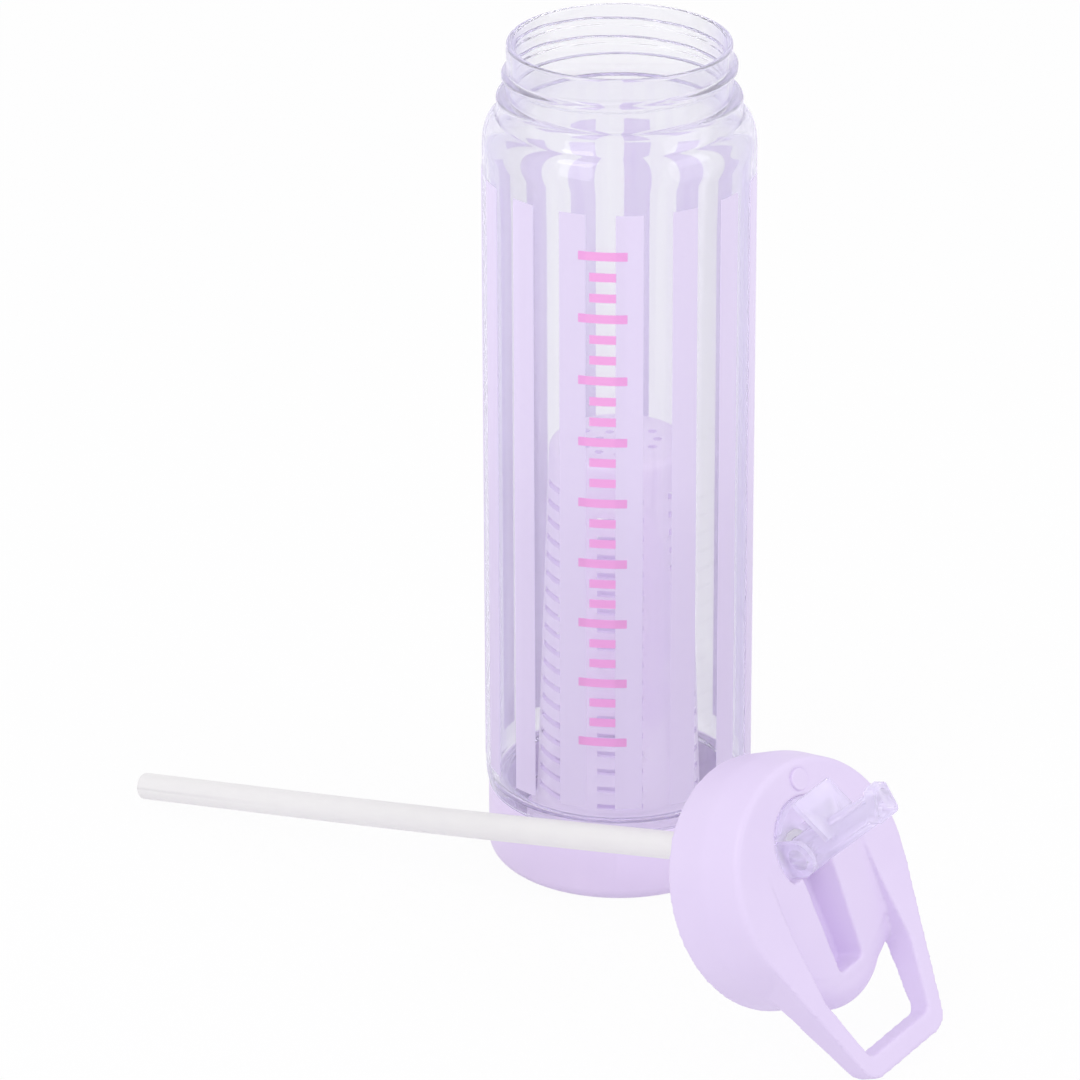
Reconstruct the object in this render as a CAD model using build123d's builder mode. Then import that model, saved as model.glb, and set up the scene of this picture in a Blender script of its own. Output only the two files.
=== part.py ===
from build123d import *
import math
import os

# A clear fruit infuser bottle stands on its screw-on base with the infuser inside.
# Its lid is off and lies beside it, propped on the carry loop and on the tip of the straw.
# Lengths are in millimetres, angles in degrees. The origin is the centre of the base's
# flat underside, +Z is up, and the printed level marks face -Y.

# Clear body
bottle_radius = 36.5
bottle_wall = 2.3
rim_height = 236.4
neck_height = 14.4
neck_setback = 2.85
neck_wall = 1.65
collar_height = 5.5
shoulder_width = 3.8
shoulder_height = 10.0
shoulder_rise_share = 0.35
mouth_edge = 0.6
waist_height = 5.0
waist_flare_share = 0.25
foot_gap = 1.5
foot_wall = 2.0

# Screw threads, all single start
thread_pitch = 5.2
thread_depth = 1.35
thread_root_width = 2.4
thread_crest_width = 1.3
mouth_thread_turns = 1.5
mouth_thread_drop = 4.0
lid_thread_turns = 1.2
foot_thread_turns = 1.0
foot_thread_depth = 0.9
thread_clearance = 0.35

# Base cup
base_height = 21.3
base_setback = 0.7
base_wall = 1.9
base_floor = 3.6
base_bottom_round = 4.0
base_rim_round = 0.8
base_groove_setback = 10.8
base_groove_width = 2.0
base_groove_depth = 0.6
socket_height = 7.0
socket_wall = 1.6
socket_room = 3.6
seal_height = 1.6
seal_width = 3.0
fit_gap = 0.3
seat_gap = 0.05

# Infuser
infuser_height = 119.3
infuser_wall = 1.5
infuser_top_round = 2.6
infuser_collar_height = 9.5
infuser_ledge = 1.8
infuser_taper = 3.7
slot_columns = 6
slot_rows = 18
slot_angle = 38.0
slot_height = 1.8
slot_bottom_gap = 9.55
slot_top_gap = 10.8
slot_turn = -88.0
strainer_hole_radius = 1.2
strainer_ring_shares = (0.275, 0.55)
strainer_ring_counts = (6, 12)

# Print on the clear body
ink = 0.12
mark_ink = 0.18
stripe_count = 15
stripe_width = 7.3
stripe_bottom_gap = 7.8
stripe_top_gap = 5.1
stripe_turn = -84.9
mark_turn = -96.0
mark_count = 9
mark_bottom_gap = 20.1
mark_top_gap = 11.4
mark_long = 13.0
mark_short = 7.0
mark_line = 2.4

# Lid shell, in its own frame: open end at zero, top up, carry loop towards +X
lid_wall = 2.05
lid_taper = 2.6
lid_depth = 15.0
lid_roof = 8.1
lid_skirt_height = 12.0
lid_skirt_round = 14.0
lid_top_round = 1.5
deck_front_plate = 4.3
deck_edge_round = 7.0
channel_side_gap = 1.0
channel_taper = 1.1
channel_front_wall = 7.8
channel_depth = 9.0
channel_wall = 1.3
channel_foot_round = 1.5
well_edge = 8.7
well_radius = 12.0
well_plate = 1.4
chin_reach = 2.7
chin_radius = 19.2
chin_bottom = 3.0
chin_band = 9.1
chin_drop = 0.4
arm_width = 13.0
arm_straight_gap = 3.0
loop_overhang = 19.2
loop_half_width = 15.8
loop_rise = 3.0
loop_bar = 6.0
loop_arm_width = 3.2
loop_root_depth = 13.0
loop_tip_depth = 5.6
loop_corner = 6.0
loop_inner_corner = 2.5

# Lid fittings
gasket_height = 1.4
gasket_width = 3.0
mount_plate = 1.2
mount_back_wall = 1.5
mount_back_rise = 0.4
ear_thickness = 1.4
bore_offset = 1.3
hub_offset = 0.8
hub_radius = 5.0
hub_width = 9.8
trunnion_radius = 2.9
trunnion_gap = 0.08
spout_length = 33.3
spout_lean = 19.0
spout_tip_slant = 26.0
spout_root_step = 0.4
spout_taper = 1.6
spout_tip_depth = 8.3
spout_tip_flare = 3.8
spout_corner = 2.4
spout_tip_corner = 1.2
spout_bore_step = 0.6
spout_mouth_wall = 0.6
spout_mouth_depth = 3.0
spout_lip = 0.5
spout_lip_height = 3.0
tab_reach = 12.8
tab_width = 14.4
tab_height = 13.0
tab_rise = 2.6
tab_thickness = 1.8
spout_seal_wall = 1.8
spout_seal_height = 0.7
socket_boss_wall = 1.6
socket_boss_depth = 8.0
sleeve_wall = 1.55
sleeve_roof = 2.2
sleeve_end_height = 2.5
vent_gap = 4.1
vent_bearing = 159.7
vent_disc_radius = 2.9
vent_disc_height = 1.0
vent_stem_radius = 1.4
vent_skirt_radius = 2.6
vent_skirt_height = 0.9

# Straw
straw_radius = 3.7
straw_wall = 0.9
straw_exit_run = 2.0
straw_sag = 0.9
straw_tip_x = -133.4
straw_tip_y = 25.4
bend_share = 0.45

# Where the lid lies
lid_place_x = 38.9
lid_place_y = -101.9
lid_turn = -41.4
lid_lean = 23.6
lid_roll = 8.8

overrun = 1.0

os.makedirs("parts", exist_ok=True)


def finish(part, label):
    """Name a finished piece and write it to its own file."""
    part.label = label
    export_step(part, f"parts/{label}.step")
    return part


def thread_ridge(radius, depth, bottom, turns, outside):
    """A helical ridge that stands out of a wall of the given radius."""
    way = 1 if outside else -1
    root_x = -way * seat_gap
    with BuildPart() as ridge:
        with BuildLine():
            Helix(thread_pitch, thread_pitch * turns, radius, center=(0, 0, bottom))
        start = Plane(origin=(radius, 0, bottom), x_dir=(1, 0, 0), z_dir=(0, -1, 0))
        with BuildSketch(start):
            with BuildLine():
                Polyline(
                    (root_x, -thread_root_width / 2),
                    (way * depth, -thread_crest_width / 2),
                    (way * depth, thread_crest_width / 2),
                    (root_x, thread_root_width / 2),
                    close=True,
                )
            make_face()
        sweep(is_frenet=True)
    return ridge.part


# Clear body: a tube with a threaded neck at each end, turned as one profile
bottle_inside = bottle_radius - bottle_wall
base_radius = bottle_radius - base_setback
base_inside = base_radius - base_wall
collar_radius = bottle_radius - shoulder_width
neck_radius = collar_radius - neck_setback
neck_inside = neck_radius - neck_wall
foot_radius = base_inside - foot_gap
foot_inside = foot_radius - foot_wall
collar_top = rim_height - neck_height
collar_bottom = collar_top - collar_height
shoulder_bottom = collar_bottom - shoulder_height
waist_top = base_height + waist_height
foot_bottom = base_floor + seal_height
inner_waist_top = waist_top + bottle_wall

mouth_thread_bottom = rim_height - mouth_thread_drop - thread_pitch * mouth_thread_turns
mouth_thread = thread_ridge(neck_radius, thread_depth, mouth_thread_bottom, mouth_thread_turns, True)
foot_thread_bottom = foot_bottom + thread_root_width
foot_thread = thread_ridge(foot_radius, foot_thread_depth, foot_thread_bottom, foot_thread_turns, True)

with BuildPart() as bottle_body:
    with BuildSketch(Plane.XZ) as body_profile:
        with BuildLine():
            Line((foot_inside, foot_bottom), (foot_radius, foot_bottom))
            Line((foot_radius, foot_bottom), (foot_radius, base_height))
            Line((foot_radius, base_height), (base_radius, base_height))
            Spline(
                (base_radius, base_height),
                (bottle_radius, waist_top),
                tangents=((waist_flare_share, 1), (0, 1)),
            )
            Line((bottle_radius, waist_top), (bottle_radius, shoulder_bottom))
            Spline(
                (bottle_radius, shoulder_bottom),
                (collar_radius, collar_bottom),
                tangents=((0, 1), (-1, shoulder_rise_share)),
            )
            Line((collar_radius, collar_bottom), (collar_radius, collar_top))
            Line((collar_radius, collar_top), (neck_radius, collar_top))
            Line((neck_radius, collar_top), (neck_radius, rim_height))
            Line((neck_radius, rim_height), (neck_inside, rim_height))
            Line((neck_inside, rim_height), (neck_inside, collar_top))
            Spline(
                (neck_inside, collar_top),
                (bottle_inside, shoulder_bottom),
                tangents=((0, -1), (0, -1)),
            )
            Line((bottle_inside, shoulder_bottom), (bottle_inside, inner_waist_top))
            Spline(
                (bottle_inside, inner_waist_top),
                (foot_inside, base_height),
                tangents=((0, -1), (0, -1)),
            )
            Line((foot_inside, base_height), (foot_inside, foot_bottom))
        make_face()
        fillet(body_profile.vertices().group_by(Axis.Y)[-1], mouth_edge)
    revolve(axis=Axis.Z)
    add(mouth_thread)
    add(foot_thread)
finish(bottle_body.part, "bottle_body")

# Printed stripes: thin panels of ink that follow the outer wall
def print_band(turn, count, width, thickness):
    """Flat outline of ink patches that follow the bottle's wall, evenly spaced round it."""
    with BuildSketch() as patches:
        with PolarLocations(bottle_radius, count, start_angle=turn):
            Rectangle(bottle_radius / 2, width)
    with BuildSketch() as band:
        Circle(bottle_radius + thickness)
        Circle(bottle_radius, mode=Mode.SUBTRACT)
        add(patches.sketch, mode=Mode.INTERSECT)
    return band.sketch


stripe_bottom = base_height + stripe_bottom_gap
stripe_top = shoulder_bottom - stripe_top_gap
mark_bottom = stripe_bottom + mark_bottom_gap
mark_top = stripe_top - mark_top_gap
mark_step = (mark_top - mark_bottom) / (mark_count - 1) / 3
with BuildPart() as level_marks:
    for step in range(3 * (mark_count - 1) + 1):
        width = mark_short if step % 3 else mark_long
        with BuildSketch(Plane.XY.offset(mark_bottom + step * mark_step - mark_line / 2)):
            add(print_band(mark_turn, 1, width, mark_ink))
        extrude(amount=mark_line)
finish(level_marks.part, "level_marks")

with BuildPart() as printed_stripes:
    with BuildSketch(Plane.XY.offset(stripe_bottom)):
        add(print_band(stripe_turn, stripe_count, stripe_width, ink))
    extrude(amount=stripe_top - stripe_bottom)
    add(level_marks.part, mode=Mode.SUBTRACT)
finish(printed_stripes.part, "printed_stripes")

# Base cup: the bottle's foot screws into it and the infuser stands in its ring
seal_middle = foot_radius - foot_wall / 2
seal_inside = seal_middle - seal_width / 2
socket_outside = seal_inside - socket_room
socket_inside = socket_outside - socket_wall
base_groove_radius = base_radius - base_groove_setback
with BuildPart() as base_cup:
    with BuildSketch(Plane.XZ) as cup_profile:
        with BuildLine():
            Polyline(
                (0, 0),
                (base_radius, 0),
                (base_radius, base_height),
                (base_inside, base_height),
                (base_inside, base_floor),
                (socket_outside, base_floor),
                (socket_outside, base_floor + socket_height),
                (socket_inside, base_floor + socket_height),
                (socket_inside, base_floor),
                (0, base_floor),
                close=True,
            )
        make_face()
        fillet(cup_profile.vertices().group_by(Axis.X)[-1].sort_by(Axis.Y)[-1], base_rim_round)
        fillet(cup_profile.vertices().group_by(Axis.X)[-1].sort_by(Axis.Y)[0], base_bottom_round)
    revolve(axis=Axis.Z)
    with BuildSketch(Plane.XY):
        Circle(base_groove_radius + base_groove_width / 2)
        Circle(base_groove_radius - base_groove_width / 2, mode=Mode.SUBTRACT)
    extrude(amount=base_groove_depth, mode=Mode.SUBTRACT)
finish(base_cup.part, "base_cup")

# Flat seal that the bottle's foot presses on the cup's floor
with BuildPart() as base_seal:
    with BuildSketch(Plane.XY.offset(base_floor)):
        Circle(seal_middle + seal_width / 2)
        Circle(seal_inside, mode=Mode.SUBTRACT)
    extrude(amount=seal_height)
finish(base_seal.part, "base_seal")

# Infuser: a tapered slotted tube, closed by a strainer at the top and open at the foot
infuser_bottom = base_floor
infuser_top = infuser_bottom + infuser_height
infuser_collar_radius = socket_inside - fit_gap
infuser_foot_radius = infuser_collar_radius - infuser_ledge
infuser_top_radius = infuser_foot_radius - infuser_taper
collar_step = infuser_bottom + infuser_collar_height
slot_bottom = collar_step + slot_bottom_gap
slot_pitch = (infuser_top - slot_top_gap - slot_bottom) / (slot_rows - 1)
with BuildPart() as infuser:
    with BuildSketch(Plane.XZ) as infuser_profile:
        with BuildLine():
            Polyline(
                (0, infuser_top),
                (infuser_top_radius, infuser_top),
                (infuser_foot_radius, collar_step),
                (infuser_collar_radius, collar_step),
                (infuser_collar_radius, infuser_bottom),
                (infuser_foot_radius - infuser_wall, infuser_bottom),
                (infuser_foot_radius - infuser_wall, collar_step),
                (infuser_top_radius - infuser_wall, infuser_top - infuser_wall),
                (0, infuser_top - infuser_wall),
                close=True,
            )
        make_face()
        fillet(infuser_profile.vertices().group_by(Axis.Y)[-1].sort_by(Axis.X)[-1], infuser_top_round)
    revolve(axis=Axis.Z)
    slot_width = 2 * infuser_top_radius * math.sin(math.radians(slot_angle / 2))
    slot_reach = infuser_collar_radius - infuser_top_radius / 2
    slot_middle = infuser_collar_radius - slot_reach / 2
    for row in range(slot_rows):
        with Locations((0, 0, slot_bottom + row * slot_pitch)):
            with PolarLocations(slot_middle, slot_columns, start_angle=slot_turn):
                Box(slot_reach, slot_width, slot_height, mode=Mode.SUBTRACT)
    with Locations((0, 0, infuser_top)):
        Cylinder(strainer_hole_radius, 4 * infuser_wall, mode=Mode.SUBTRACT)
        for ring_share, ring_count in zip(strainer_ring_shares, strainer_ring_counts):
            with PolarLocations(ring_share * infuser_top_radius, ring_count):
                Cylinder(strainer_hole_radius, 4 * infuser_wall, mode=Mode.SUBTRACT)
finish(infuser.part, "infuser")

# Lid shell and its carry loop, one moulding
lid_inside = neck_radius + thread_depth + thread_clearance
lid_radius = lid_inside + lid_wall
lid_top_radius = lid_radius - lid_taper
lid_ceiling = lid_depth
lid_height = lid_ceiling + lid_roof
deck_front_height = lid_ceiling + deck_front_plate
deck_half_width = lid_top_radius - arm_width
chin_x = lid_radius + chin_reach - chin_radius
chin_low_radius = lid_radius - chin_x - lid_wall / 2
chin_top = deck_front_height - chin_drop
chin_rise = chin_top - chin_band
channel_half_width = hub_width / 2 + channel_side_gap
channel_end_half_width = channel_half_width - channel_taper
channel_end = lid_radius - channel_front_wall
channel_floor = deck_front_height - channel_depth
well_x = well_radius + well_edge - lid_top_radius
well_floor = lid_ceiling + well_plate
bore_x = well_x + bore_offset
pivot_x = bore_x + hub_offset
well_front_x = pivot_x + hub_radius + fit_gap
loop_reach = lid_radius + loop_overhang
loop_straight_end = lid_top_radius - arm_straight_gap
loop_inner_half_width = loop_half_width - loop_arm_width
loop_distance = math.hypot(loop_reach, loop_half_width)
tangent_angle = math.atan2(loop_half_width, loop_reach) + math.acos(lid_top_radius / loop_distance)
tangent_x = lid_top_radius * math.cos(tangent_angle)
tangent_y = lid_top_radius * math.sin(tangent_angle)
loop_tip_top = lid_height + loop_rise
root_slope = (loop_tip_top - loop_tip_depth - lid_height + loop_root_depth) / (loop_reach - tangent_x)
loop_start_bottom = lid_height - loop_root_depth - tangent_x * root_slope

with BuildPart() as loop_arms:
    with BuildSketch(Plane.XY) as loop_plan:
        with BuildLine():
            Polyline(
                (0, tangent_y),
                (tangent_x, tangent_y),
                (loop_reach, loop_half_width),
                (loop_reach, -loop_half_width),
                (tangent_x, -tangent_y),
                (0, -tangent_y),
                close=True,
            )
        make_face()
        fillet(loop_plan.vertices().group_by(Axis.X)[-1], loop_corner)
    extrude(amount=loop_tip_top + overrun)
    with BuildSketch(Plane.XY) as loop_hole:
        with BuildLine():
            Polyline(
                (0, deck_half_width),
                (loop_straight_end, deck_half_width),
                (loop_reach - loop_bar, loop_inner_half_width),
                (loop_reach - loop_bar, -loop_inner_half_width),
                (loop_straight_end, -deck_half_width),
                (0, -deck_half_width),
                close=True,
            )
        make_face()
        fillet(loop_hole.vertices().group_by(Axis.X)[-1], loop_inner_corner)
    extrude(amount=loop_tip_top + overrun, mode=Mode.SUBTRACT)
    with BuildSketch(Plane.XZ):
        with BuildLine():
            Polyline(
                (0, loop_start_bottom),
                (loop_reach, loop_tip_top - loop_tip_depth),
                (loop_reach, loop_tip_top),
                (tangent_x, lid_height),
                (0, lid_height),
                close=True,
            )
        make_face()
    extrude(amount=lid_radius, both=True, mode=Mode.INTERSECT)

# Chin: a rounded tongue that stands out between the arms, under the front of the deck
with BuildPart() as chin:
    with BuildSketch(Plane.XZ) as chin_profile:
        with BuildLine():
            Polyline(
                (0, chin_bottom),
                (chin_low_radius, chin_bottom),
                (chin_radius, chin_rise),
                (chin_radius, chin_top),
                (0, chin_top),
                close=True,
            )
        make_face()
        fillet(chin_profile.vertices().group_by(Axis.X)[-1], deck_edge_round)
    revolve(axis=Axis.Z)

# What is cut off at the front, so that the deck rolls over into the skirt
round_start = lid_radius - deck_edge_round
round_end = deck_front_height - deck_edge_round
with BuildPart() as front_trim:
    with BuildSketch(Plane.XZ):
        with BuildLine():
            Polyline(
                (round_start, deck_front_height),
                (round_start, lid_height + overrun),
                (lid_radius + overrun, lid_height + overrun),
                (lid_radius + overrun, round_end),
                (lid_radius, round_end),
            )
            RadiusArc((lid_radius, round_end), (round_start, deck_front_height), -deck_edge_round)
        make_face()
    revolve(axis=Axis.Z)
    with BuildSketch(Plane.YZ):
        with Locations((0, lid_height / 2)):
            Rectangle(2 * deck_half_width, lid_height + 2 * overrun)
    extrude(amount=lid_radius + overrun, mode=Mode.INTERSECT)

lid_thread_bottom = thread_root_width
lid_thread = thread_ridge(lid_inside, thread_depth, lid_thread_bottom, lid_thread_turns, False)
sleeve_radius = straw_radius + seat_gap + sleeve_wall
boss_radius = sleeve_radius + seat_gap + socket_boss_wall
channel_back = bore_x + boss_radius
vent_x = well_x + (well_radius + vent_gap) * math.cos(math.radians(vent_bearing))
vent_y = (well_radius + vent_gap) * math.sin(math.radians(vent_bearing))
with BuildPart() as lid_shell:
    with BuildSketch(Plane.XZ) as lid_profile:
        with BuildLine():
            Polyline(
                (0, 0),
                (lid_radius, 0),
                (lid_radius, lid_skirt_height),
                (lid_top_radius, lid_height),
                (0, lid_height),
                close=True,
            )
        make_face()
        fillet(lid_profile.vertices().group_by(Axis.X)[-1].sort_by(Axis.Y)[-1], lid_skirt_round)
        fillet(lid_profile.vertices().group_by(Axis.Y)[-1].sort_by(Axis.X)[-1], lid_top_round)
    revolve(axis=Axis.Z)
    # Sloping deck between the two arms
    with BuildSketch(Plane.XZ):
        with BuildLine():
            Polyline(
                (well_x, lid_height),
                (round_start, deck_front_height),
                (lid_radius + overrun, deck_front_height),
                (lid_radius + overrun, lid_height + overrun),
                (well_x, lid_height + overrun),
                close=True,
            )
        make_face()
    extrude(amount=deck_half_width, both=True, mode=Mode.SUBTRACT)
    add(front_trim.part, mode=Mode.SUBTRACT)
    add(chin.part.moved(Location((chin_x, 0, 0))))
    add(loop_arms.part)
    # Hollow inside, with the boss that holds the straw's sleeve and the channel's underside
    with BuildSketch(Plane.XY):
        Circle(lid_inside)
    extrude(amount=lid_ceiling, mode=Mode.SUBTRACT)
    with BuildSketch(Plane.XY.offset(lid_ceiling - socket_boss_depth)):
        with Locations((bore_x, 0)):
            Circle(boss_radius)
    extrude(amount=socket_boss_depth)
    with BuildSketch(Plane.XY.offset(channel_floor - channel_wall)):
        with BuildLine():
            Polyline(
                (bore_x, channel_half_width + channel_wall),
                (channel_end + channel_wall, channel_end_half_width + channel_wall),
                (channel_end + channel_wall, -channel_end_half_width - channel_wall),
                (bore_x, -channel_half_width - channel_wall),
                close=True,
            )
        make_face()
    extrude(amount=lid_ceiling - channel_floor + channel_wall)
    # Round well for the spout's hub, and the channel that the folded spout lies in
    with BuildSketch(Plane.XY.offset(well_floor)):
        with Locations((well_x, 0)):
            Circle(well_radius)
        with Locations((well_front_x + well_radius, 0)):
            Rectangle(2 * well_radius, 2 * well_radius, mode=Mode.SUBTRACT)
    extrude(amount=lid_height, mode=Mode.SUBTRACT)
    with BuildSketch(Plane.XY.offset(channel_floor)) as channel_plan:
        with BuildLine():
            Polyline(
                (channel_back, channel_half_width),
                (channel_end, channel_end_half_width),
                (channel_end, -channel_end_half_width),
                (channel_back, -channel_half_width),
                close=True,
            )
        make_face()
        fillet(channel_plan.vertices().group_by(Axis.X)[-1], channel_foot_round)
    extrude(amount=lid_height, mode=Mode.SUBTRACT)
    with BuildSketch(Plane.XY.offset(well_floor)):
        with Locations((channel_back, 0)):
            Rectangle(2 * (channel_back - well_front_x), 2 * channel_half_width)
    extrude(amount=lid_height, mode=Mode.SUBTRACT)
    with BuildSketch(Plane.XY):
        with Locations((bore_x, 0)):
            Circle(sleeve_radius + seat_gap)
    extrude(amount=well_floor + overrun, mode=Mode.SUBTRACT)
    # Seat and hole of the air valve
    with BuildSketch(Plane.XY):
        with Locations((vent_x, vent_y)):
            Circle(vent_stem_radius + seat_gap)
    extrude(amount=lid_height + overrun, mode=Mode.SUBTRACT)
    with BuildSketch(Plane.XY.offset(lid_height - vent_disc_height / 2)):
        with Locations((vent_x, vent_y)):
            Circle(vent_disc_radius + fit_gap)
    extrude(amount=lid_height, mode=Mode.SUBTRACT)
    add(lid_thread)

# Sealing ring under the lid's ceiling
gasket_outside = lid_inside - seat_gap
with BuildPart() as lid_gasket:
    with BuildSketch(Plane.XY.offset(lid_ceiling - gasket_height)):
        Circle(gasket_outside)
        Circle(gasket_outside - gasket_width, mode=Mode.SUBTRACT)
    extrude(amount=gasket_height)

# Clear mount in the well: a plate, two ears that carry the spout, and a back wall
mount_radius = well_radius - fit_gap / 2
plate_top = well_floor + mount_plate
spout_bore = straw_radius - straw_wall
pivot_height = plate_top + spout_seal_height + fit_gap + hub_radius
ear_start = hub_width / 2 + fit_gap
ear_end = ear_start + ear_thickness
with BuildPart() as spout_mount:
    with BuildSketch(Plane.XY.offset(well_floor)):
        with Locations((well_x, 0)):
            Circle(mount_radius)
        with Locations((well_front_x - fit_gap / 2 + well_radius, 0)):
            Rectangle(2 * well_radius, 2 * well_radius, mode=Mode.SUBTRACT)
    extrude(amount=mount_plate)
    with BuildSketch(Plane.XY.offset(plate_top)):
        with Locations((well_x, 0)):
            Circle(mount_radius)
            Circle(mount_radius - mount_back_wall, mode=Mode.SUBTRACT)
        with Locations((well_x + well_radius / 2, 0)):
            Rectangle(2 * well_radius, 2 * well_radius, mode=Mode.SUBTRACT)
    extrude(amount=lid_height + mount_back_rise - plate_top)
    with BuildSketch(Plane.XZ.offset(-ear_end)) as ear_outline:
        with Locations((pivot_x, pivot_height)):
            Circle(hub_radius)
        with Locations((pivot_x, (pivot_height + plate_top) / 2)):
            Rectangle(2 * hub_radius, pivot_height - plate_top)
        with Locations((pivot_x, pivot_height)):
            Circle(trunnion_radius + trunnion_gap, mode=Mode.SUBTRACT)
    extrude(amount=ear_thickness)
    mirror(about=Plane.XZ)
    with BuildSketch(Plane.XY.offset(well_floor)):
        with Locations((bore_x, 0)):
            Circle(spout_bore)
    extrude(amount=mount_plate, mode=Mode.SUBTRACT)

# Soft seat under the spout's hub
with BuildPart() as spout_seal:
    with BuildSketch(Plane.XY.offset(plate_top)):
        with Locations((bore_x, 0)):
            Circle(spout_bore + spout_seal_wall)
            Circle(spout_bore, mode=Mode.SUBTRACT)
    extrude(amount=spout_seal_height)

# Clear spout, modelled along its own bore from the pivot and leaning back
lean = math.radians(spout_lean)
spout_tip_width = hub_width - spout_taper
spout_base = Plane(
    origin=(pivot_x, 0, pivot_height),
    x_dir=(math.cos(lean), 0, math.sin(lean)),
    z_dir=(-math.sin(lean), 0, math.cos(lean)),
)
tip_place = Plane(spout_base.location * Location((0, 0, spout_length), (0, spout_tip_slant, 0)))


def tip_outline(margin):
    """Outline of the spout's tip, wider at the front, grown or shrunk by a margin."""
    depth = spout_tip_depth / 2 + margin
    front = spout_tip_width / 2 + margin
    back = front - spout_tip_flare / 2
    with BuildSketch() as outline:
        with BuildLine():
            Polyline((depth, -front), (depth, front), (-depth, back), (-depth, -back), close=True)
        make_face()
        fillet(outline.vertices(), spout_tip_corner)
    return outline.sketch


with BuildPart() as spout:
    with BuildSketch(Plane.XZ.offset(-hub_width / 2)):
        with Locations((pivot_x, pivot_height)):
            Circle(hub_radius)
    extrude(amount=hub_width)
    with BuildSketch(spout_base):
        RectangleRounded(2 * hub_radius - spout_root_step, hub_width, spout_corner)
    with BuildSketch(tip_place):
        add(tip_outline(0))
    loft()
    with BuildSketch(tip_place.offset(-spout_lip_height)):
        add(tip_outline(spout_lip))
    extrude(amount=spout_lip_height)
    # Thumb tab at the back, wider than the spout and drooping a little
    tab_side = Plane(origin=spout_base.origin, x_dir=spout_base.x_dir, z_dir=(0, -1, 0))
    with BuildSketch(tab_side) as tab_profile:
        with BuildLine():
            Polyline(
                (0, tab_height + tab_rise),
                (-tab_reach, tab_height),
                (-tab_reach, tab_height - tab_thickness),
                (0, tab_height + tab_rise - tab_thickness),
                close=True,
            )
        make_face()
        fillet(tab_profile.vertices().group_by(Axis.X)[0], tab_thickness / 3)
    extrude(amount=tab_width / 2, both=True)
    with BuildSketch(spout_base.offset(-2 * hub_radius)):
        Circle(spout_bore - spout_bore_step)
    extrude(amount=spout_length + 3 * hub_radius, mode=Mode.SUBTRACT)
    with BuildSketch(tip_place.offset(-spout_mouth_depth)):
        add(tip_outline(-spout_mouth_wall))
    extrude(amount=spout_mouth_depth + overrun, mode=Mode.SUBTRACT)
    with BuildSketch(Plane.XZ.offset(-ear_end)):
        with Locations((pivot_x, pivot_height)):
            Circle(trunnion_radius)
    extrude(amount=ear_thickness + 2 * fit_gap)
    with BuildSketch(Plane.XZ.offset(ear_end)):
        with Locations((pivot_x, pivot_height)):
            Circle(trunnion_radius)
    extrude(amount=-ear_thickness - 2 * fit_gap)

# Soft sleeve in the lid's boss that grips the straw
straw_seat = well_floor - sleeve_roof
boss_end = lid_ceiling - socket_boss_depth - seat_gap
with BuildPart() as straw_sleeve:
    with BuildSketch(Plane.XZ):
        with BuildLine():
            Polyline(
                (straw_radius + seat_gap, boss_end - sleeve_end_height),
                (boss_radius, boss_end - sleeve_end_height),
                (boss_radius, boss_end),
                (sleeve_radius, boss_end),
                (sleeve_radius, well_floor),
                (spout_bore, well_floor),
                (spout_bore, straw_seat),
                (straw_radius + seat_gap, straw_seat),
                close=True,
            )
        make_face()
    revolve(axis=Axis.Z)

# Air valve: a soft mushroom that is pulled through its hole
with BuildPart() as vent_valve:
    with BuildSketch(Plane.XZ):
        with BuildLine():
            Polyline(
                (0, lid_height + vent_disc_height / 2),
                (vent_disc_radius, lid_height + vent_disc_height / 2),
                (vent_disc_radius, lid_height - vent_disc_height / 2),
                (vent_stem_radius, lid_height - vent_disc_height / 2),
                (vent_stem_radius, lid_ceiling),
                (vent_skirt_radius, lid_ceiling),
                (vent_stem_radius, lid_ceiling - vent_skirt_height),
                (0, lid_ceiling - vent_skirt_height),
                close=True,
            )
        make_face()
    revolve(axis=Axis.Z)
    fillet(vent_valve.faces().sort_by(Axis.Z)[-1].edges(), vent_disc_height / 3)

# The lid lies on its side: it is turned, then lifted until it just touches the table
lid_tilt = Location((0, 0, 0), (0, 0, lid_turn)) * Location((0, 0, 0), (0, 90 - lid_lean, 0))
lid_tilt = lid_tilt * Location((0, 0, 0), (0, 0, lid_roll))
lid_drop = lid_shell.part.moved(lid_tilt).bounding_box().min.Z
lid_place = Location((lid_place_x, lid_place_y, -lid_drop)) * lid_tilt
sleeve_place = lid_place * Location((bore_x, 0, 0))
vent_place = lid_place * Location((vent_x, vent_y, 0))
finish(lid_shell.part.moved(lid_place), "lid_shell")
finish(lid_gasket.part.moved(lid_place), "lid_gasket")
finish(spout_mount.part.moved(lid_place), "spout_mount")
finish(spout_seal.part.moved(lid_place), "spout_seal")
finish(spout.part.moved(lid_place), "spout")
finish(straw_sleeve.part.moved(sleeve_place), "straw_sleeve")
finish(vent_valve.part.moved(vent_place), "vent_valve")

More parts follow.
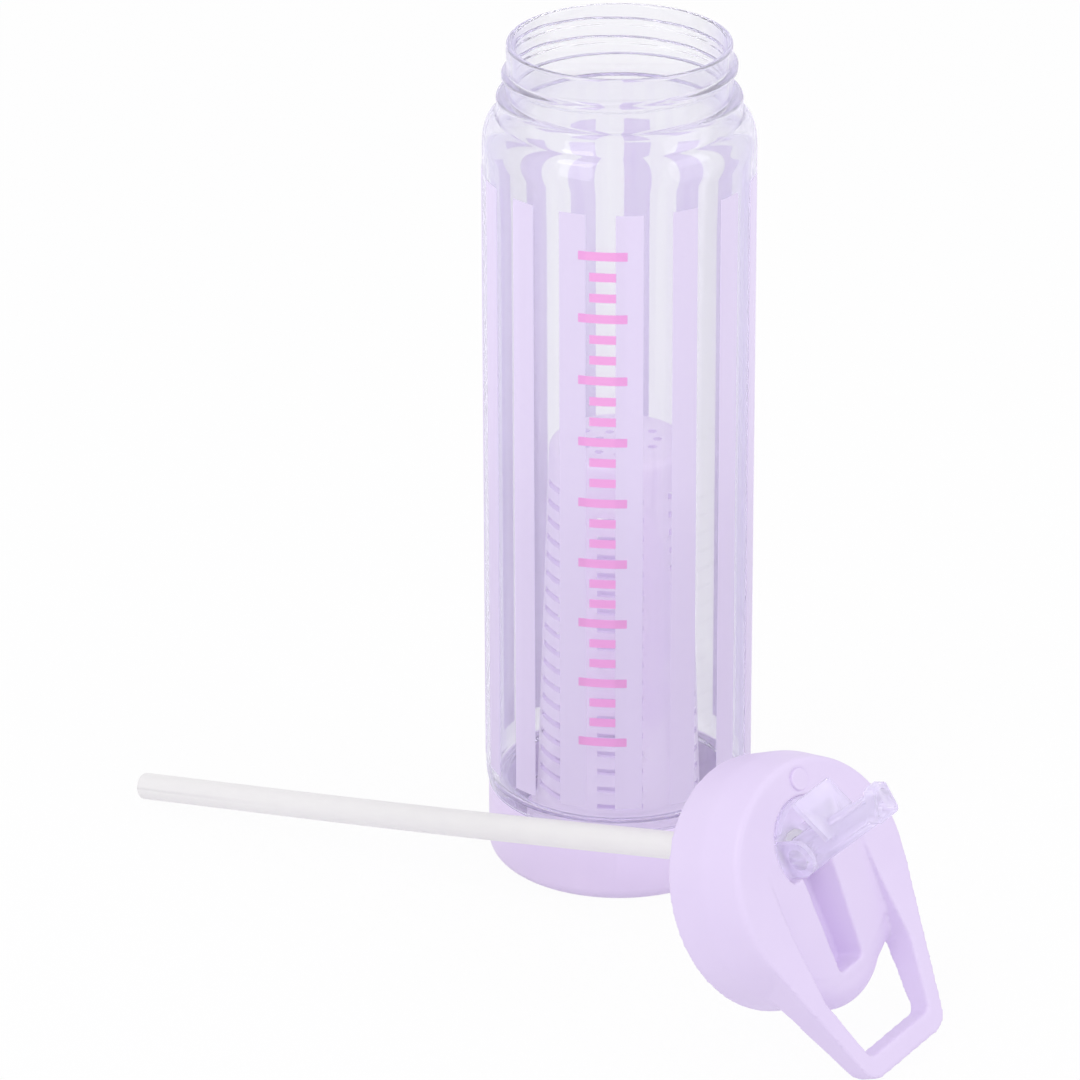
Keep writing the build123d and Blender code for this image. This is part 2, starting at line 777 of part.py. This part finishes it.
# Straw: straight in its sleeve, then bent over to where its tip rests on the table
straw_start = (sleeve_place * Location((0, 0, straw_seat))).position
straw_exit = (sleeve_place * Location((0, 0, -straw_exit_run))).position
straw_tip = Vector(straw_tip_x, straw_tip_y, straw_radius)
straw_middle = (straw_exit + straw_tip) / 2 - Vector(0, 0, straw_sag)
first_turn = math.radians((straw_exit - straw_start).get_angle(straw_middle - straw_exit))
second_turn = math.radians((straw_middle - straw_exit).get_angle(straw_tip - straw_middle))
first_run = (straw_exit - straw_start).length
second_run = (straw_tip - straw_middle).length
straw_bends = (
    bend_share * first_run / math.tan(first_turn / 2),
    bend_share * second_run / math.tan(second_turn / 2),
)
with BuildPart() as straw:
    with BuildLine():
        FilletPolyline(straw_start, straw_exit, straw_middle, straw_tip, radius=straw_bends)
    straw_axis = straw_exit - straw_start
    with BuildSketch(Plane(origin=straw_start, z_dir=straw_axis)):
        Circle(straw_radius)
        Circle(straw_radius - straw_wall, mode=Mode.SUBTRACT)
    sweep()
finish(straw.part, "straw")
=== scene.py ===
import math

import bpy
from mathutils import Matrix, Vector


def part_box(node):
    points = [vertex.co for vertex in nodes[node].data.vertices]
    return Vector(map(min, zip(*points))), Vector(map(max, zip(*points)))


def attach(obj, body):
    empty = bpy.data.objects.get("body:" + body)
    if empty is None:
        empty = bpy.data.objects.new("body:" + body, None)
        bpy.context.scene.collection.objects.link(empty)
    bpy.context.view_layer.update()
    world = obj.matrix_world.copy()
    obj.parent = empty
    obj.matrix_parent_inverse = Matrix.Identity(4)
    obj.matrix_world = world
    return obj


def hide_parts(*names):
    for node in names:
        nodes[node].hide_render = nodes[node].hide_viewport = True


# A clear fruit infuser bottle with printed lavender stripes, standing in its base cup, and its
# flip-spout lid lying beside it on the carry loop with the straw stretched out to the left.
# Sizes are in millimetres and turned into metres by MM where they reach a mesh.

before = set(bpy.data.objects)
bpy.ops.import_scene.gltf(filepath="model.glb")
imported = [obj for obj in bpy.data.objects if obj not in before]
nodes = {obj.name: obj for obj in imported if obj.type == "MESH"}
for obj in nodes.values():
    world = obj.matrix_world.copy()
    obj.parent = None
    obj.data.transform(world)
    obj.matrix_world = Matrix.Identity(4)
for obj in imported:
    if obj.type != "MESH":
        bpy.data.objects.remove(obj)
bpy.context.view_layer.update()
MM = 0.001
bpy.ops.object.select_all(action="DESELECT")

# Camera, fitted to the outlines in the photograph, in millimetres and degrees
camera_place = (23.29, -1583.1, 813.51)
camera_yaw = 1.6183
camera_pitch = -24.4838
camera_roll = 0.2293
camera_lens = 213.44
camera_sensor = 36.0
camera_reach = 20000.0

camera_data = bpy.data.cameras.new("camera")
camera_data.lens = camera_lens
camera_data.sensor_width = camera_sensor
camera_data.clip_end = camera_reach * MM
camera = bpy.data.objects.new("camera", camera_data)
bpy.context.scene.collection.objects.link(camera)
camera_turn = Matrix.Rotation(math.radians(camera_yaw), 4, "Z")
camera_turn = camera_turn @ Matrix.Rotation(math.radians(camera_pitch), 4, "X")
camera_turn = camera_turn @ Matrix.Rotation(math.radians(camera_roll), 4, "Y")
camera_turn = camera_turn @ Matrix.Rotation(math.radians(90), 4, "X")
camera.matrix_world = Matrix.Translation(Vector(camera_place) * MM) @ camera_turn
bpy.context.scene.camera = camera
bpy.context.scene.view_settings.view_transform = "Standard"


# Materials

def colour(hex_code):
    """An sRGB hex colour as linear red, green, blue and alpha."""
    channels = [int(hex_code[i:i + 2], 16) / 255 for i in (1, 3, 5)]
    linear = [c / 12.92 if c <= 0.04045 else ((c + 0.055) / 1.055) ** 2.4 for c in channels]
    return (*linear, 1.0)


white = colour("#FFFFFF")


def add_node(tree, kind, inputs=(), **settings):
    """Adds a node, sets its properties, and fills or links its inputs, given as (socket, value) pairs."""
    made = tree.nodes.new(kind)
    for key, value in settings.items():
        setattr(made, key, value)
    for socket, value in inputs:
        if isinstance(value, bpy.types.NodeSocket):
            tree.links.new(value, made.inputs[socket])
        else:
            made.inputs[socket].default_value = value
    return made


def new_material(name):
    """An empty node material and its output node."""
    material = bpy.data.materials.new(name)
    material.use_nodes = True
    material.node_tree.nodes.clear()
    return material, material.node_tree, material.node_tree.nodes.new("ShaderNodeOutputMaterial")


def blend(tree, share, first, second):
    """The first shader with the given share of the second in its place."""
    return add_node(tree, "ShaderNodeMixShader", [(0, share), (1, first), (2, second)]).outputs[0]


def see_through(tree, tint):
    """Light that goes straight on and takes the tint."""
    return add_node(tree, "ShaderNodeBsdfTransparent", [("Color", tint)]).outputs[0]


def noise(tree, size, detail):
    """Noise in the object's own space, in patches of the given size in millimetres."""
    place = add_node(tree, "ShaderNodeTexCoord")
    return add_node(tree, "ShaderNodeTexNoise", [
        ("Vector", place.outputs["Object"]), ("Scale", 1 / (size * MM)), ("Detail", detail)]).outputs["Fac"]


def mottled(tree, light, dark, size):
    """A colour that drifts between two tones over patches of the given size in millimetres."""
    mottle_detail = 3.0
    tones = add_node(tree, "ShaderNodeMix", [
        ("Factor", noise(tree, size, mottle_detail)),
        (6, colour(light)), (7, colour(dark))], data_type="RGBA")
    return tones.outputs[2]


def grain(tree, size, height):
    """Fine bumps of the given size and height in millimetres, as spark-eroded moulds leave them."""
    grain_detail = 2.0
    grain_strength = 0.25
    return add_node(tree, "ShaderNodeBump", [
        ("Height", noise(tree, size, grain_detail)), ("Distance", height * MM),
        ("Strength", grain_strength)]).outputs["Normal"]


def soft_rays(tree):
    """One for light that only fills a place in, which thin and clear plastic lets pass, else nought."""
    rays = add_node(tree, "ShaderNodeLightPath")
    return add_node(tree, "ShaderNodeMath", [
        (0, rays.outputs["Is Shadow Ray"]),
        (1, rays.outputs["Is Diffuse Ray"])], operation="MAXIMUM").outputs[0]


def seen_rays(tree):
    """One for what the eye sees, also as a reflection or through clear plastic, else nought."""
    rays = add_node(tree, "ShaderNodeLightPath")
    seen = add_node(tree, "ShaderNodeMath", [
        (0, rays.outputs["Is Camera Ray"]), (1, rays.outputs["Is Glossy Ray"])], operation="ADD")
    return add_node(tree, "ShaderNodeMath", [
        (0, seen.outputs[0]),
        (1, rays.outputs["Is Transmission Ray"])], operation="ADD", use_clamp=True).outputs[0]


def by_ray(tree, rays, share, rest):
    """The share where rays is one, and the rest where it is nought."""
    return add_node(tree, "ShaderNodeMapRange", [
        ("Value", rays), ("To Min", rest), ("To Max", share)]).outputs[0]


def matte_polypropylene(name, light, dark, tint, roughness, through):
    """Moulded polypropylene: a satin skin with a fine eroded grain, over a wall of two close tones.

    through is the share of soft rays that pass the wall, which lights the hollows behind it.
    """
    mottle_size = 14.0
    grain_size, grain_height = 0.5, 0.02
    refraction = 1.49
    material, tree, out = new_material(name)
    skin = add_node(tree, "ShaderNodeBsdfPrincipled", [
        ("Base Color", mottled(tree, light, dark, mottle_size)), ("Roughness", roughness),
        ("IOR", refraction), ("Normal", grain(tree, grain_size, grain_height))])
    look = blend(
        tree, by_ray(tree, soft_rays(tree), through, 0.0), skin.outputs[0], see_through(tree, colour(tint)))
    tree.links.new(look, out.inputs["Surface"])
    return material


def clear_copolyester(name, tint, haze_tint, roughness, ripple, straight, haze, edge_haze):
    """Clear moulded copolyester: polished, with a faint flow ripple, and hazier where it is seen edge on.

    straight is the share that isn't bent, and haze and edge_haze are the milky shares seen face on and
    edge on. Soft rays pass untouched.
    """
    ripple_size = 30.0
    edge_blend = 0.3
    edge_start, edge_end = 0.25, 0.9
    haze_roughness = 0.2
    refraction = 1.46
    material, tree, out = new_material(name)
    facing = add_node(tree, "ShaderNodeLayerWeight", [("Blend", edge_blend)]).outputs["Facing"]
    clear = add_node(tree, "ShaderNodeBsdfPrincipled", [
        ("Base Color", colour(tint)), ("Roughness", roughness), ("IOR", refraction),
        ("Transmission Weight", 1.0), ("Normal", grain(tree, ripple_size, ripple))])
    inside = blend(tree, straight, clear.outputs[0], see_through(tree, colour(tint)))
    haze_skin = add_node(tree, "ShaderNodeBsdfPrincipled", [
        ("Base Color", colour(haze_tint)), ("Roughness", haze_roughness), ("IOR", refraction)])
    haze_share = add_node(tree, "ShaderNodeMapRange", [
        ("Value", facing), ("From Min", edge_start), ("From Max", edge_end),
        ("To Min", haze), ("To Max", edge_haze)])
    seen = blend(tree, haze_share.outputs[0], inside, haze_skin.outputs[0])
    look = blend(tree, soft_rays(tree), seen, see_through(tree, white))
    tree.links.new(look, out.inputs["Surface"])
    return material


def screen_ink(name, light, dark, tint, cover):
    """Screen-printed ink: a thin film, mottled by the mesh that it came through and lit from behind too.

    cover is the share of the view that the film hides.
    """
    mottle_size = 3.0
    grain_size, grain_height = 0.4, 0.01
    roughness = 0.32
    refraction = 1.5
    glow_share = 0.4
    soft_share = 0.95
    material, tree, out = new_material(name)
    film_skin = add_node(tree, "ShaderNodeBsdfPrincipled", [
        ("Base Color", mottled(tree, light, dark, mottle_size)), ("Roughness", roughness),
        ("IOR", refraction), ("Normal", grain(tree, grain_size, grain_height))])
    glow = add_node(tree, "ShaderNodeBsdfTranslucent", [("Color", colour(dark))])
    body = blend(tree, glow_share, film_skin.outputs[0], glow.outputs[0])
    look = blend(
        tree, by_ray(tree, soft_rays(tree), soft_share, 1 - cover), body, see_through(tree, colour(tint)))
    tree.links.new(look, out.inputs["Surface"])
    return material


def milky_plastic(name, light, dark, tint, cover, scatter, roughness):
    """Thin milky plastic or silicone, whose wall scatters light and lets a little straight through.

    cover is the share of the view that the wall hides, and scatter the share of the light that comes
    from behind it.
    """
    mottle_size = 8.0
    grain_size, grain_height = 0.6, 0.015
    refraction = 1.5
    soft_share = 0.8
    material, tree, out = new_material(name)
    wall_colour = mottled(tree, light, dark, mottle_size)
    skin = add_node(tree, "ShaderNodeBsdfPrincipled", [
        ("Base Color", wall_colour), ("Roughness", roughness), ("IOR", refraction),
        ("Normal", grain(tree, grain_size, grain_height))])
    glow = add_node(tree, "ShaderNodeBsdfTranslucent", [("Color", wall_colour)])
    body = blend(tree, scatter, skin.outputs[0], glow.outputs[0])
    look = blend(
        tree, by_ray(tree, soft_rays(tree), soft_share, 1 - cover), body, see_through(tree, colour(tint)))
    tree.links.new(look, out.inputs["Surface"])
    return material


body_clear = clear_copolyester(
    "body_clear_copolyester", tint="#F9F9FB", haze_tint="#DCD4F8", roughness=0.02, ripple=0.0015,
    straight=0.08, haze=0.04, edge_haze=0.78)
spout_clear = clear_copolyester(
    "spout_clear_copolyester", tint="#FBF7FF", haze_tint="#EBE3FF", roughness=0.06, ripple=0.01,
    straight=0.35, haze=0.42, edge_haze=0.78)
stripe_ink = screen_ink("stripe_lavender_ink", light="#F2E9FF", dark="#EEE4FD", tint="#F8F4FD", cover=0.96)
mark_ink = screen_ink("mark_pink_ink", light="#FFC0F5", dark="#FFBBF2", tint="#FFD8F2", cover=0.97)
base_plastic = matte_polypropylene(
    "base_lavender_polypropylene", light="#E6D7F5", dark="#E0D0F2", tint="#FAF6FE",
    roughness=0.42, through=0.93)
lid_plastic = matte_polypropylene(
    "lid_lavender_polypropylene", light="#E3D5F4", dark="#DECFF1", tint="#FAF6FE",
    roughness=0.48, through=0.9)
infuser_plastic = milky_plastic(
    "infuser_lavender_polypropylene", light="#F5ECFE", dark="#EFE4FC", tint="#F6F0FC", cover=0.92,
    scatter=0.1, roughness=0.35)
straw_plastic = milky_plastic(
    "straw_milky_polyethylene", light="#F6F5F5", dark="#F1EFF1", tint="#FDFCFD", cover=0.92,
    scatter=0.2, roughness=0.3)
seal_silicone = milky_plastic(
    "seal_clear_silicone", light="#F1EFF6", dark="#E8E5F0", tint="#FBFAFD", cover=0.75,
    scatter=0.3, roughness=0.5)


# Modelling helpers

lathe_merge = 0.001
copy_merge = 0.002
quad_angle = 40
smooth_angle = 32


def use(piece):
    """Makes one object the only selected and active one."""
    if bpy.context.mode != "OBJECT":
        bpy.ops.object.mode_set(mode="OBJECT")
    bpy.ops.object.select_all(action="DESELECT")
    bpy.context.view_layer.objects.active = piece
    piece.select_set(True)


def finish_piece(piece, name, body, slot, material, *stands_for):
    """Names a piece, gives it its material, and makes it ride on its body."""
    piece.name = name
    piece.data.name = name
    piece.data.materials.clear()
    piece.data.materials.append(material)
    if stands_for:
        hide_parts(*stands_for)
    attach(piece, body)
    return piece


def turned(outline, steps):
    """A lathe piece: a closed outline of (radius, height) points, drawn point by point and spun round Z."""
    bpy.ops.mesh.primitive_plane_add(size=MM, location=(outline[0][0] * MM, 0, outline[0][1] * MM))
    piece = bpy.context.object
    use(piece)
    bpy.ops.object.transform_apply(location=True, rotation=True, scale=True)
    bpy.ops.object.mode_set(mode="EDIT")
    bpy.ops.mesh.select_all(action="SELECT")
    bpy.ops.mesh.merge(type="CENTER")
    for (r0, z0), (r1, z1) in zip(outline, outline[1:] + outline[:1]):
        step = ((r1 - r0) * MM, 0, (z1 - z0) * MM)
        bpy.ops.mesh.extrude_vertices_move(TRANSFORM_OT_translate={"value": step})
    bpy.ops.mesh.select_all(action="SELECT")
    bpy.ops.mesh.remove_doubles(threshold=lathe_merge * MM)
    bpy.ops.mesh.select_all(action="SELECT")
    bpy.ops.mesh.spin(steps=steps, angle=math.tau, center=(0, 0, 0), axis=(0, 0, 1))
    bpy.ops.mesh.select_all(action="SELECT")
    bpy.ops.mesh.remove_doubles(threshold=lathe_merge * MM)
    bpy.ops.mesh.normals_make_consistent(inside=False)
    bpy.ops.object.mode_set(mode="OBJECT")
    bpy.ops.object.shade_smooth()
    return piece


def straight_run(radius, start, end, steps):
    """Evenly spaced points along a straight wall, without the first one."""
    return [(radius, start + (end - start) * i / steps) for i in range(1, steps + 1)]


def curve_between(start, end, start_way, end_way, steps):
    """A smooth curve between two (radius, height) points, leaving and arriving in the given ways."""
    reach = math.dist(start, end)
    points = []
    for i in range(1, steps + 1):
        t = i / steps
        from_start, leaving = 2 * t ** 3 - 3 * t ** 2 + 1, (t ** 3 - 2 * t ** 2 + t) * reach
        to_end, arriving = -2 * t ** 3 + 3 * t ** 2, (t ** 3 - t ** 2) * reach
        points.append(tuple(
            from_start * start[k] + leaving * start_way[k] + to_end * end[k] + arriving * end_way[k]
            for k in (0, 1)))
    return points


def rounded(outline, radii, steps=5):
    """The outline with its corners rounded: radii gives the rounding of each point, 0 for a sharp one."""
    points = []
    for i, (corner, radius) in enumerate(zip(outline, radii)):
        if not radius:
            points.append(corner)
            continue
        here = Vector(corner)
        back = (Vector(outline[i - 1]) - here).normalized()
        on = (Vector(outline[(i + 1) % len(outline)]) - here).normalized()
        half = back.angle(on) / 2
        reach = radius / math.tan(half)
        middle = here + (back + on).normalized() * (radius / math.sin(half))
        first, last = here + back * reach - middle, here + on * reach - middle
        swing = first.angle(last)
        for step in range(steps + 1):
            share = step / steps
            spoke = first * math.sin((1 - share) * swing) + last * math.sin(share * swing)
            points.append(tuple(middle + spoke / math.sin(swing)))
    return points


def copy_of(node):
    """A merged, smoothly shaded copy of a CAD node's mesh."""
    piece = bpy.data.objects.new(node, nodes[node].data.copy())
    bpy.context.scene.collection.objects.link(piece)
    use(piece)
    bpy.ops.object.mode_set(mode="EDIT")
    bpy.ops.mesh.select_all(action="SELECT")
    bpy.ops.mesh.remove_doubles(threshold=copy_merge * MM)
    bpy.ops.mesh.tris_convert_to_quads(
        face_threshold=math.radians(quad_angle), shape_threshold=math.radians(quad_angle))
    bpy.ops.object.mode_set(mode="OBJECT")
    bpy.ops.object.shade_smooth_by_angle(angle=math.radians(smooth_angle))
    return piece


def apply_modifier(piece, kind, **settings):
    """Adds a modifier with its settings and applies it."""
    use(piece)
    modifier = piece.modifiers.new(kind.lower(), kind)
    for key, value in settings.items():
        setattr(modifier, key, value)
    bpy.ops.object.modifier_apply(modifier=modifier.name)


# Clear body: one lathe outline from the threaded foot up the outside, over the rim and down the inside

body_low, body_high = (Vector(corner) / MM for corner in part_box("bottle_body"))
cup_high = Vector(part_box("base_cup")[1]) / MM
rim_height = body_high.z
foot_bottom = body_low.z
body_radius = body_high.x
waist_bottom = cup_high.z
cup_radius = cup_high.x
body_wall = 2.3
neck_radius = 29.85
neck_wall = 1.65
rim_edge = 0.8
rim_round = 0.75
collar_radius = 32.7
collar_top = 222.0
collar_bottom = 216.5
collar_round = 1.3
shoulder_bottom = 206.5
shoulder_rise = 0.35
foot_radius = 32.4
foot_wall = 2.0
foot_ledge = 1.0
waist_height = 5.0
waist_flare = 0.25
inner_waist_round = 2.6
inner_foot_round = 1.0

thread_pitch = 5.2
thread_depth = 1.35
thread_root = 2.4
thread_crest = 1.3
thread_run_in = 0.06
mouth_thread_turns = 1.5
mouth_thread_drop = 4.0
foot_thread_turns = 1.0
foot_thread_depth = 0.9
wall_tolerance = 0.02

around = 180
row_step = 0.4
waist_steps = 8
wall_steps = 12
shoulder_steps = 14
inner_shoulder_steps = 18
neck_steps = 6
foot_steps = 4


def thread_rows(radius, start, end):
    """Points up or down a straight wall, close enough together to carry a thread."""
    steps = max(2, round(abs(end - start) / row_step))
    return [(radius, start)] + straight_run(radius, start, end, steps)


def raise_thread(piece, radius, bottom, turns, depth):
    """Moves the wall's points outwards along a helix, so that a thread with sloping flanks stands out."""
    for point in piece.data.vertices:
        x, y, z = point.co / MM
        distance = math.hypot(x, y)
        if abs(distance - radius) > wall_tolerance:
            continue
        turn = math.atan2(y, x) % math.tau / math.tau
        height = 0.0
        for lap in range(math.ceil(turns) + 1):
            along = lap + turn
            if 0 <= along <= turns:
                off = abs(z - bottom - thread_pitch * along)
                flank = (thread_root / 2 - off) / ((thread_root - thread_crest) / 2)
                run_in = min(1.0, along / thread_run_in, (turns - along) / thread_run_in)
                height = max(height, min(1.0, max(0.0, flank)) * depth * run_in)
        grow = (distance + height) / distance
        point.co.x *= grow
        point.co.y *= grow


waist_top = waist_bottom + waist_height
inside = body_radius - body_wall
neck_inside = neck_radius - neck_wall
foot_inside = foot_radius - foot_wall
inner_waist_top = waist_top + body_wall
inner_waist_bottom = waist_bottom + body_wall
rim_foot = rim_height - rim_edge

body_outline = thread_rows(foot_radius, foot_bottom, waist_bottom)
body_outline += [(foot_radius + foot_ledge, waist_bottom), (cup_radius, waist_bottom)]
body_outline += curve_between(
    (cup_radius, waist_bottom), (body_radius, waist_top), (waist_flare, 1), (0, 1), waist_steps)
body_outline += straight_run(body_radius, waist_top, shoulder_bottom, wall_steps)
body_outline += curve_between(
    (body_radius, shoulder_bottom), (collar_radius, collar_bottom),
    (0, 1), (-1, shoulder_rise), shoulder_steps)
body_outline += rounded(
    [(collar_radius, collar_bottom), (collar_radius, collar_top), (neck_radius, collar_top)],
    [0, collar_round, 0])[1:]
body_outline += thread_rows(neck_radius, collar_top, rim_foot)[1:]
body_outline += rounded(
    [(neck_radius, rim_foot), (neck_radius, rim_height),
     (neck_inside, rim_height), (neck_inside, rim_foot)],
    [0, rim_round, rim_round, 0])[1:]
body_outline += straight_run(neck_inside, rim_foot, collar_top, neck_steps)
body_outline += curve_between(
    (neck_inside, collar_top), (inside, shoulder_bottom), (0, -1), (0, -1), inner_shoulder_steps)
body_outline += straight_run(inside, shoulder_bottom, inner_waist_top, wall_steps)
body_outline += rounded(
    [(inside, inner_waist_top), (inside, inner_waist_bottom), (foot_inside, inner_waist_bottom),
     (foot_inside, waist_bottom)],
    [0, inner_waist_round, inner_foot_round, 0])[1:]
body_outline += straight_run(foot_inside, waist_bottom, foot_bottom, foot_steps)

bottle = turned(body_outline, around)
mouth_thread_bottom = rim_height - mouth_thread_drop - thread_pitch * mouth_thread_turns
raise_thread(bottle, neck_radius, mouth_thread_bottom, mouth_thread_turns, thread_depth)
raise_thread(bottle, foot_radius, foot_bottom + thread_root, foot_thread_turns, foot_thread_depth)
finish_piece(bottle, "clear_body", "bottle", "clear_plastic", body_clear, "bottle_body")

# Print on the body: patches of ink bent round the wall, stripes first and the level marks over them

stripe_count = 15
stripe_width = 7.3
stripe_low, stripe_high = (Vector(corner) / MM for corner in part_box("printed_stripes"))
stripe_turn = -84.9
mark_turn = -96.0
mark_count = 9
mark_parts = 3
mark_pitch = 17.6
mark_top = 190.0
mark_long = 13.0
mark_short = 7.0
mark_line = 2.4
film = 0.1
lift = 0.02
patch_columns = 12
patch_row = 6.0


def print_patch(name, turn, width, low, high, offset):
    """One patch of ink: a grid bent round the wall."""
    patch_rows = max(1, round((high - low) / patch_row))
    bpy.ops.mesh.primitive_grid_add(x_subdivisions=patch_columns, y_subdivisions=patch_rows, size=MM)
    patch = bpy.context.object
    patch.name = name
    for point in patch.data.vertices:
        angle = math.radians(turn) + point.co.x / MM * width / body_radius
        radius = body_radius + offset
        height = low + (point.co.y / MM + 0.5) * (high - low)
        point.co = Vector((radius * math.cos(angle), radius * math.sin(angle), height)) * MM
    return patch


def film_of(patches):
    """The patches joined as one piece with the ink's thickness, facing outwards."""
    use(patches[0])
    for patch in patches:
        patch.select_set(True)
    bpy.ops.object.join()
    print_piece = patches[0]
    bpy.ops.object.mode_set(mode="EDIT")
    bpy.ops.mesh.select_all(action="SELECT")
    bpy.ops.mesh.normals_make_consistent(inside=False)
    bpy.ops.object.mode_set(mode="OBJECT")
    apply_modifier(print_piece, "SOLIDIFY", thickness=film * MM, offset=1.0)
    bpy.ops.object.shade_smooth_by_angle(angle=math.radians(smooth_angle))
    return print_piece


stripe_spacing = 360 / stripe_count
stripes = film_of([
    print_patch("stripe", stripe_turn + stripe_spacing * i, stripe_width, stripe_low.z, stripe_high.z, lift)
    for i in range(stripe_count)])
finish_piece(stripes, "stripe_print", "bottle", "stripe_ink", stripe_ink, "printed_stripes")

mark_bottom = mark_top - mark_pitch * (mark_count - 1)
mark_step = mark_pitch / mark_parts
mark_patches = []
for step in range(mark_parts * (mark_count - 1) + 1):
    width = mark_short if step % mark_parts else mark_long
    middle = mark_bottom + step * mark_step
    mark_patches.append(print_patch(
        "mark", mark_turn, width, middle - mark_line / 2, middle + mark_line / 2, lift + film + lift))
marks = film_of(mark_patches)
finish_piece(marks, "level_print", "bottle", "mark_ink", mark_ink, "level_marks")

# Lid moulding: the solid's own shape, with every edge worn round as the mould leaves it

lid_voxel = 0.55
lid_softening = 6
lid_softening_share = 0.5

lid_moulding = copy_of("lid_shell")
apply_modifier(lid_moulding, "REMESH", mode="VOXEL", voxel_size=lid_voxel * MM)
apply_modifier(lid_moulding, "SMOOTH", factor=lid_softening_share, iterations=lid_softening)
use(lid_moulding)
bpy.ops.object.shade_smooth()
finish_piece(lid_moulding, "lid_moulding", "lid", "lid_plastic", lid_plastic, "lid_shell")

# Base cup, infuser, spout, its insert and the straw keep their CAD shape, as smoothly shaded copies

for node, name, body, slot, material in [
    ("base_cup", "base_cup_shell", "base", "base_plastic", base_plastic),
    ("infuser", "infuser_tube", "infuser_basket", "infuser_plastic", infuser_plastic),
    ("spout_mount", "spout_insert", "lid", "spout_plastic", spout_clear),
    ("spout", "flip_mouthpiece", "flip_spout", "spout_plastic", spout_clear),
    ("straw", "drinking_straw", "lid", "straw_plastic", straw_plastic),
]:
    finish_piece(copy_of(node), name, body, slot, material, node)

# Seals, sleeve and vent valve are shown by their CAD nodes, which take their materials here

for node, material in [
    ("base_seal", seal_silicone),
    ("lid_gasket", seal_silicone),
    ("spout_seal", seal_silicone),
    ("straw_sleeve", seal_silicone),
    ("vent_valve", lid_plastic),
]:
    nodes[node].data.materials.clear()
    nodes[node].data.materials.append(material)

# Stage: a pale floor, a white world and soft lamps, in metres

floor_size = 12.0
floor_white_share = 0.93
fill_level = 0.85
lamp_aim = (0, 0, 0.1)

bpy.ops.mesh.primitive_plane_add(size=floor_size, location=(0, 0, 0))
floor = bpy.context.object
floor.name = "floor"
floor_material, tree, out = new_material("pale_floor")
floor_paint = add_node(tree, "ShaderNodeBsdfDiffuse", [("Color", colour("#F2F1F4"))])
floor_white = add_node(tree, "ShaderNodeEmission", [("Color", white), ("Strength", 1.0)])
whitened = add_node(tree, "ShaderNodeMath", [
    (0, seen_rays(tree)), (1, floor_white_share)], operation="MULTIPLY")
floor_look = blend(tree, whitened.outputs[0], floor_paint.outputs[0], floor_white.outputs[0])
tree.links.new(floor_look, out.inputs["Surface"])
floor.data.materials.append(floor_material)

world = bpy.data.worlds.new("studio")
bpy.context.scene.world = world
world.use_nodes = True
tree = world.node_tree
tree.nodes.clear()
out = tree.nodes.new("ShaderNodeOutputWorld")
sky_level = by_ray(tree, seen_rays(tree), 1.0, fill_level)
sky = add_node(tree, "ShaderNodeBackground", [("Color", white), ("Strength", sky_level)])
tree.links.new(sky.outputs[0], out.inputs["Surface"])


def soft_lamp(name, place, size, power):
    """A square area lamp at a place, aimed at the bottle."""
    data = bpy.data.lights.new(name, "AREA")
    data.size = size
    data.energy = power
    lamp = bpy.data.objects.new(name, data)
    bpy.context.scene.collection.objects.link(lamp)
    lamp.location = place
    lamp.rotation_euler = (Vector(lamp_aim) - Vector(place)).to_track_quat("-Z", "Y").to_euler()


soft_lamp("key", place=(-0.9, -1.0, 1.5), size=0.9, power=8.0)
soft_lamp("fill", place=(1.2, -0.5, 0.9), size=0.8, power=3.0)
